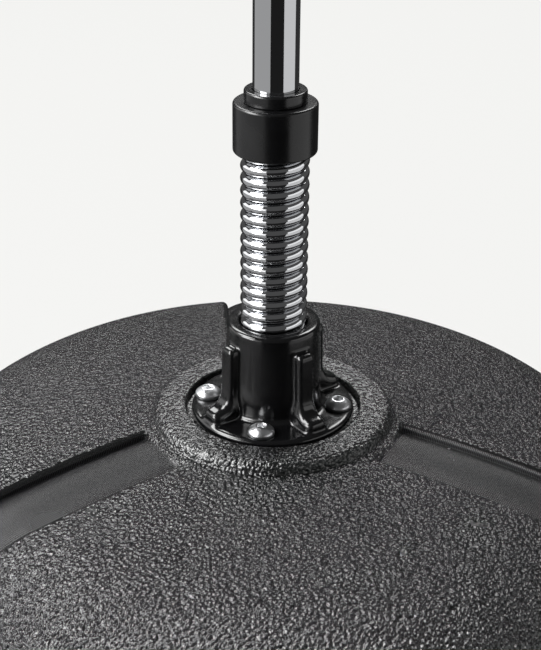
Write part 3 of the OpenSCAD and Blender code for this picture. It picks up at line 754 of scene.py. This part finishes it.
def socket_distance(points, looks, flange, deck):
    """Distance to the flange, the tapered socket and its four ribs."""
    flange_round, rim_round, mouth_round, bore_fillet = 3.6 * MM, 3.0 * MM, 1.8 * MM, 1.0 * MM
    body_fillet, rib_fillet = 4.5 * MM, 2.2 * MM
    x, y, z = points[..., 0], points[..., 1], points[..., 2] - deck
    r = np.hypot(x, y)
    up = z - looks.flange_thickness
    plate = soft_max(r - flange, up, flange_round)
    wall = looks.rim + (looks.rise - up) * math.tan(looks.draft)
    body = soft_max(r - wall, up - looks.rise, rim_round)
    solid = soft_min(plate, body, body_fillet)
    for k in range(4):
        angle = looks.rib_turn + k * math.pi / 2
        reach = x * math.cos(angle) + y * math.sin(angle)
        sideways = -x * math.sin(angle) + y * math.cos(angle)
        solid = soft_min(solid, rib_distance(reach, up, sideways, looks, flange), rib_fillet)
    solid = np.maximum(solid, -z)
    bore = soft_max(r - looks.bore, looks.seat - up, bore_fillet)
    return soft_max(solid, -bore, mouth_round)


def make_socket():
    """The cast socket with its flange and ribs."""
    looks = bpy.context.scene.socket_looks
    low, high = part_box("socket_flange")
    margin = 3 * looks.step
    flange = high.x
    corner = flange + margin
    points, faces = mesh_distance(
        lambda p: socket_distance(p, looks, flange, low.z),
        (-corner, -corner, low.z - margin),
        (corner, corner, high.z + margin),
        looks.step,
    )
    piece = new_piece("Socket_Flange", points, faces, "base", "socket_flange")
    finish(piece, "socket_plastic")


def screw_rows():
    """One screw's outline from the bottom of its key socket round to the end of its shank: radius, height
    and how hexagonal the row is."""
    looks = bpy.context.scene.screw_looks
    flange_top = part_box("socket_flange")[0].z + bpy.context.scene.socket_looks.flange_thickness
    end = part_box("flange_screws")[0].z
    top = flange_top + looks.height
    crown = looks.height * 0.62
    ball = (looks.head**2 + crown**2) / (2 * crown)
    key = looks.key / math.cos(math.radians(30))
    key_floor = top - 3.2 * MM
    shank, axis = 4 * MM, 0.4 * MM
    rows = [(axis, key_floor - 0.4 * MM, 0.0), (key * 0.9, key_floor, 1.0)]
    rows += [(key, key_floor + 0.3 * MM, 1.0), (key, top - 0.75 * MM, 1.0)]
    rows.append((key + 0.35 * MM, top - 0.36 * MM, 0.9))
    for r in np.linspace(key + 0.9 * MM, looks.head - 0.35 * MM, 12):
        height = top - (ball - math.sqrt(ball**2 - r**2))
        rows.append((r, height, max(0.0, 0.6 - (r - key) / (1.5 * MM))))
    side = top - crown
    rows += [(looks.head - 0.1 * MM, side - 0.1 * MM, 0.0), (looks.head, side - 0.5 * MM, 0.0)]
    rows += [(looks.head, flange_top + 0.4 * MM, 0.0), (looks.head - 0.4 * MM, flange_top, 0.0)]
    rows += [(shank, flange_top, 0.0), (shank, end + 0.8 * MM, 0.0), (shank - 0.7 * MM, end, 0.0)]
    return rows + [(axis, end, 0.0)]


def make_screws():
    """Four domed flange screws, each with a hexagon key socket, on their shanks."""
    looks = bpy.context.scene.screw_looks
    sides = 48
    turns = np.linspace(0, 2 * np.pi, sides, endpoint=False)
    facet = np.radians((np.degrees(turns) + 30) % 60 - 30)
    hexagon = math.cos(math.radians(30)) / np.cos(facet)
    rows = screw_rows()
    points, faces = [], []
    # Each screw stopped at its own angle
    for k, twist in enumerate((0.3, 1.1, 0.75, 0.1)):
        angle = looks.turn + k * math.pi / 2
        x, y = looks.circle * math.cos(angle), looks.circle * math.sin(angle)
        start = len(points)
        for r, z, six in rows:
            radius = r * (1 - six + six * hexagon)
            ring = zip(radius, turns + twist)
            points += [(x + q * math.cos(t), y + q * math.sin(t), z) for q, t in ring]
        faces += [tuple(start + i for i in f) for f in grid_faces(len(rows), sides, wrap_columns=True)]
        last = start + (len(rows) - 1) * sides
        faces.append(tuple(start + i for i in reversed(range(sides))))
        faces.append(tuple(last + i for i in range(sides)))
    piece = new_piece("Flange_Screws", points, faces, "base", "flange_screws")
    finish(piece, "screw_chrome")


# ---------------------------------------------------------------- the spring


def make_spring():
    """The coil spring as two lengths of one helix, split halfway between the socket and the collar."""
    looks = bpy.context.scene.spring_looks
    low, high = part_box("spring")
    winding = looks.outer - looks.wire
    first = low.z + looks.wire
    last = (high.z - low.z - 2 * looks.wire) / looks.pitch
    socket_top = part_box("socket_flange")[1].z
    collar_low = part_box("coupling_collar")[0].z
    middle = (socket_top + collar_low) / 2
    cut = (middle - first) / looks.pitch
    spans = (("Spring_Lower", 0.0, cut), ("Spring_Upper", cut, last))
    bodies = (("base", "spring", socket_top, middle), ("spring", "pole", middle, collar_low))
    for (name, start, end), (a, b, z_start, z_end) in zip(spans, bodies):
        count = int(math.ceil((end - start) * looks.steps)) + 1
        t = np.linspace(start, end, count)[:, None]
        section = np.linspace(0, 2 * np.pi, looks.sides, endpoint=False)[None, :]
        radius = winding + looks.wire * np.cos(section)
        x = radius * np.cos(2 * np.pi * t)
        y = radius * np.sin(2 * np.pi * t)
        z = first + t * looks.pitch + looks.wire * np.sin(section)
        points = np.stack(np.broadcast_arrays(x, y, z), axis=-1).reshape(-1, 3)
        faces = [tuple(f) for f in grid_faces(count, looks.sides, wrap_columns=True)[:, ::-1]]
        # Each flat end has its own points, so that the wire's side stays smooth up to it
        size = len(points)
        points = np.concatenate([points, points[: looks.sides], points[-looks.sides :]])
        faces.append(tuple(size + i for i in range(looks.sides)))
        faces.append(tuple(size + looks.sides + i for i in reversed(range(looks.sides))))
        piece = new_piece(name, points, faces, None, "spring")
        finish(piece, "spring_chrome")
        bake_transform(piece)


# ---------------------------------------------------------------- the pole


def make_poles():
    """The two chromed tubes, with their cut ends rounded over."""
    wall, edge, end, spacing = 1.5 * MM, 0.4 * MM, 2 * MM, 20 * MM
    for name, node, body in (
        ("Lower_Pole", "lower_pole", "pole"),
        ("Upper_Pole", "upper_pole", "upper_pole"),
    ):
        low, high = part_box(node)
        out = high.x
        rings = 2 + int((high.z - low.z) / spacing)
        outline = [(out - wall, low.z)]
        outline += rounded((out, low.z), edge, -90)
        outline += [(out, z) for z in np.linspace(low.z + end, high.z - end, rings)]
        outline += rounded((out, high.z), edge, 0)
        outline += [(out - wall, high.z)]
        piece = lathe(name, outline, body, node)
        finish(piece, "pole_chrome")


def finish_plain_nodes():
    """Gives every frame node that shows as it is the finish of its own slot."""
    slots = {row["node"]: row["material_slot"] for row in frame["record"]["subparts"]}
    for node, piece in frame["nodes"].items():
        if not piece.hide_render:
            finish(piece, slots[node])


# ---------------------------------------------------------------- the studio


def soft_light(name, place, target, size, power):
    """A soft box that faces a point."""
    lamp = bpy.data.lights.new(name, "AREA")
    lamp.shape, lamp.size, lamp.size_y = "RECTANGLE", size[0], size[1]
    lamp.energy = power
    light = bpy.data.objects.new(name, lamp)
    light.location = place
    light.rotation_euler = (Vector(target) - Vector(place)).to_track_quat("-Z", "Y").to_euler()
    light.visible_camera = False
    bpy.context.scene.collection.objects.link(light)


def make_camera():
    """The camera, looking down on the base from the front."""
    looks = bpy.context.scene.stage_looks
    data = bpy.data.cameras.new("Camera")
    data.lens = looks.lens
    data.sensor_width = 36
    data.clip_end = 50
    camera = bpy.data.objects.new("Camera", data)
    aim = Matrix.Rotation(looks.yaw, 4, "Z") @ Matrix.Rotation(math.pi / 2 - looks.pitch, 4, "X")
    camera.matrix_world = Matrix.Translation(looks.camera) @ aim @ Matrix.Rotation(looks.roll, 4, "Z")
    bpy.context.scene.collection.objects.link(camera)
    bpy.context.scene.camera = camera


def glowing(name, colour, strength, diffuse="#000000"):
    """A matt emitter of one even brightness, which may also take some light."""
    material, _, shader, _ = new_material(name, diffuse, Roughness=0.9)
    shader.inputs["Specular IOR Level"].default_value = 0.0
    shader.inputs["Emission Color"].default_value = linear(colour)
    shader.inputs["Emission Strength"].default_value = strength
    return material


def card(name, start, end, inner, outer, colour, strength):
    """A sector round the stand that only shows in reflections, between two edges of (radius, height). Its
    angles go from the front towards +X."""
    steps = 24
    points = []
    for degrees in np.linspace(start, end, steps):
        x, y = math.sin(math.radians(degrees)), -math.cos(math.radians(degrees))
        points += [(x * radius, y * radius, height) for radius, height in (inner, outer)]
    piece = new_piece(name, points, grid_faces(steps, 2), None, None, smooth=False)
    piece.data.materials.append(glowing(name, colour, strength))
    piece.visible_camera = piece.visible_diffuse = piece.visible_shadow = piece.visible_transmission = False


def make_stage():
    """A plain pale floor and backdrop that only the camera sees, three soft boxes, and cards that only
    reflections see: bright ones at both sides, with darker ones before and behind."""
    bpy.context.scene.view_settings.view_transform = "Standard"
    half = 9.0
    corners = [(-half, -half, 0), (half, -half, 0), (half, half, 0), (-half, half, 0)]
    floor = new_piece("Floor", corners, [(0, 1, 2, 3)], None, None, smooth=False)
    wall = []
    sides, radius = 48, half - 0.1
    for angle in np.linspace(0, 2 * math.pi, sides, endpoint=False):
        x, y = radius * math.cos(angle), radius * math.sin(angle)
        wall += [(x, y, 0.0), (x, y, half)]
    backdrop = new_piece("Backdrop", wall, grid_faces(sides, 2, wrap_rows=True), None, None)
    paint = glowing("Painted_Floor", bpy.context.scene.stage_looks.floor, 0.96, diffuse="#2a2a2a")
    for piece in (floor, backdrop):
        piece.data.materials.append(paint)
        piece.visible_diffuse = piece.visible_glossy = piece.visible_shadow = False
    bounce = new_piece("Floor_Bounce", corners, [(0, 1, 2, 3)], None, None, smooth=False)
    bounce.location.z = -1 * MM
    bounce.data.materials.append(glowing("Floor_Bounce", "#ffffff", 0.12))
    bounce.visible_camera = bounce.visible_shadow = False
    # Cards on the floor, for what looks down into them, and upright ones round the stand
    near, far = (0.3, 1 * MM), (4.0, 1 * MM)
    card("Card_Left", -128, -27, near, far, "#ffffff", 0.5)
    card("Card_Front", -27, 38, near, far, "#242424", 1.0)
    card("Card_Right", 38, 106, near, far, "#ffffff", 0.85)
    card("Card_Back", 106, 232, near, far, "#3a3a3a", 1.0)
    low, high = (2.2, 0.2), (2.2, 1.2)
    card("Wall_Left", -128, -30, low, high, "#ffffff", 1.7)
    card("Wall_Right", 42, 106, low, high, "#ffffff", 1.3)
    world = bpy.data.worlds.new("Studio")
    world.use_nodes = True
    sky = world.node_tree.nodes["Background"]
    sky.inputs["Color"].default_value = linear("#ffffff")
    sky.inputs["Strength"].default_value = 0.1
    bpy.context.scene.world = world
    soft_light("Key_Box", (-1.2, -0.1, 1.3), (0, 0, 0.1), (0.9, 0.8), 34)
    soft_light("Left_Box", (-1.5, -0.75, 0.75), (0, 0, 0.15), (1.0, 0.7), 30)
    soft_light("Back_Box", (0.0, 1.4, 1.5), (0, 0, 0.1), (2.0, 0.5), 30)


# ---------------------------------------------------------------- operators


class SPEEDBAG_OT_base(bpy.types.Operator):
    """Build the moulded base and its filler neck"""

    bl_idname = "speedbag.base"
    bl_label = "Build base"

    def execute(self, context):
        make_base()
        make_filler()
        return {"FINISHED"}


class SPEEDBAG_OT_socket(bpy.types.Operator):
    """Build the socket with its flange and ribs"""

    bl_idname = "speedbag.socket"
    bl_label = "Build socket"

    def execute(self, context):
        make_socket()
        return {"FINISHED"}


class SPEEDBAG_OT_screws(bpy.types.Operator):
    """Build the four flange screws"""

    bl_idname = "speedbag.screws"
    bl_label = "Build flange screws"

    def execute(self, context):
        make_screws()
        return {"FINISHED"}


class SPEEDBAG_OT_spring(bpy.types.Operator):
    """Build the coil spring"""

    bl_idname = "speedbag.spring"
    bl_label = "Build spring"

    def execute(self, context):
        make_spring()
        return {"FINISHED"}


class SPEEDBAG_OT_poles(bpy.types.Operator):
    """Build both pole tubes"""

    bl_idname = "speedbag.poles"
    bl_label = "Build poles"

    def execute(self, context):
        make_poles()
        return {"FINISHED"}


class SPEEDBAG_OT_finishes(bpy.types.Operator):
    """Give the remaining pieces of the frame their finishes"""

    bl_idname = "speedbag.finishes"
    bl_label = "Finish the frame's pieces"

    def execute(self, context):
        finish_plain_nodes()
        return {"FINISHED"}


class SPEEDBAG_OT_stage(bpy.types.Operator):
    """Build the camera, floor and studio light"""

    bl_idname = "speedbag.stage"
    bl_label = "Build stage"

    def execute(self, context):
        make_camera()
        make_stage()
        return {"FINISHED"}


OPERATORS = (
    SPEEDBAG_OT_base,
    SPEEDBAG_OT_socket,
    SPEEDBAG_OT_screws,
    SPEEDBAG_OT_spring,
    SPEEDBAG_OT_poles,
    SPEEDBAG_OT_finishes,
    SPEEDBAG_OT_stage,
)
SETTINGS = (
    ("base_looks", BaseSettings),
    ("socket_looks", SocketSettings),
    ("screw_looks", ScrewSettings),
    ("spring_looks", SpringSettings),
    ("finish_looks", FinishSettings),
    ("stage_looks", StageSettings),
)


class SPEEDBAG_PT_panel(bpy.types.Panel):
    """Lists the operators and their settings"""

    bl_idname = "SPEEDBAG_PT_panel"
    bl_label = "Speed bag stand"
    bl_space_type = "VIEW_3D"
    bl_region_type = "UI"
    bl_category = "Speed bag stand"

    def draw(self, context):
        for operator in OPERATORS:
            self.layout.operator(operator.bl_idname)
        for name, group in SETTINGS:
            box = self.layout.box()
            for field in group.__annotations__:
                box.prop(getattr(context.scene, name), field)


def register():
    for name, group in SETTINGS:
        bpy.utils.register_class(group)
        setattr(bpy.types.Scene, name, PointerProperty(type=group))
    for item in OPERATORS + (SPEEDBAG_PT_panel,):
        bpy.utils.register_class(item)


def unregister():
    for item in reversed(OPERATORS + (SPEEDBAG_PT_panel,)):
        bpy.utils.unregister_class(item)
    for name, group in reversed(SETTINGS):
        delattr(bpy.types.Scene, name)
        bpy.utils.unregister_class(group)


def main():
    register()
    for operator in OPERATORS:
        module, name = operator.bl_idname.split(".")
        getattr(getattr(bpy.ops, module), name)()


if __name__ == "__main__":
    main()
